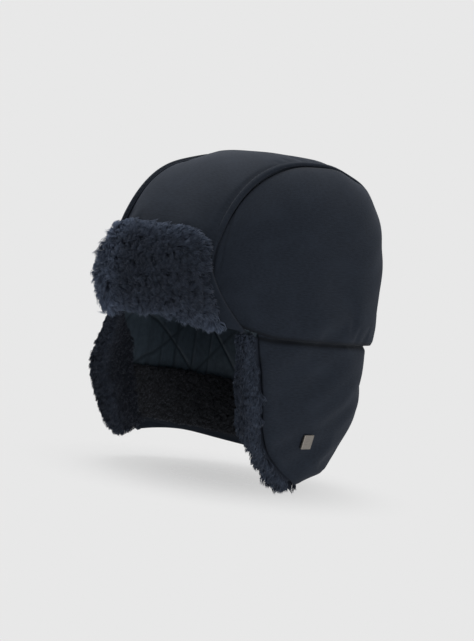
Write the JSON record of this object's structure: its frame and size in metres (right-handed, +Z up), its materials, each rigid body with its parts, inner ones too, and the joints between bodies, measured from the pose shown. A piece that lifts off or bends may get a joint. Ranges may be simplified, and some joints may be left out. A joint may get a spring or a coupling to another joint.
{
  "type": "trapper hat",
  "caption": "Padded winter hat with a panelled crown, a sherpa-faced front flap turned up on the brow, hanging ear flaps and a neck curtain.",
  "frame": {"origin": "middle of the head opening, level with the crown's lower seam", "axes": "+Z up through the crown, -Y towards the face, +X towards the wearer's left"},
  "size_m": [0.183, 0.2294, 0.2454],
  "materials": {
    "outer_cloth": "matt soft-shell cloth",
    "wadding": "loose fibre wadding",
    "quilted_lining": "quilted lining cloth",
    "sherpa": "curly sherpa pile",
    "badge_metal": "dull grey metal"
  },
  "bodies": {
    "hat_body": {"crown_centre_panel": "outer_cloth", "crown_side_panel_left": "outer_cloth", "crown_side_panel_right": "outer_cloth", "crown_welt_left": "outer_cloth", "crown_welt_right": "outer_cloth", "crown_wadding_centre": "wadding", "crown_wadding_left": "wadding", "crown_wadding_right": "wadding", "crown_lining_centre": "quilted_lining", "crown_lining_left": "quilted_lining", "crown_lining_right": "quilted_lining", "neck_shell_left": "outer_cloth", "neck_shell_right": "outer_cloth", "neck_wadding_left": "wadding", "neck_wadding_right": "wadding", "neck_lining_left": "quilted_lining", "neck_lining_right": "quilted_lining", "neck_sherpa_left": "sherpa", "neck_sherpa_right": "sherpa", "hem_binding_left": "outer_cloth", "hem_binding_right": "outer_cloth"},
    "ear_flap_left": {"ear_flap_shell_left": "outer_cloth", "ear_flap_wadding_left": "wadding", "ear_flap_sherpa_left": "sherpa", "ear_flap_facing_left": "sherpa", "badge_plate": "badge_metal"},
    "ear_flap_right": {"ear_flap_shell_right": "outer_cloth", "ear_flap_wadding_right": "wadding", "ear_flap_sherpa_right": "sherpa", "ear_flap_facing_right": "sherpa"},
    "front_flap": {"front_flap_shell": "outer_cloth", "front_flap_wadding": "wadding", "front_flap_sherpa": "sherpa"}
  },
  "joints": [
    {"name": "ear_flap_left_fold", "type": "hinge", "parent": "hat_body", "child": "ear_flap_left", "pos_m": [0.0895, 0, -0.04895], "axis": [0.0698, -0.7823, 0.6189], "range_deg": [0, 150]},
    {"name": "ear_flap_right_fold", "type": "hinge", "parent": "hat_body", "child": "ear_flap_right", "pos_m": [-0.0895, 0, -0.04895], "axis": [0.0698, 0.7823, -0.6189], "range_deg": [0, 150]},
    {"name": "front_flap_fold", "type": "hinge", "parent": "hat_body", "child": "front_flap", "pos_m": [0, -0.106, 0.002], "axis": [1, 0, 0], "range_deg": [0, 100]}
  ]
}
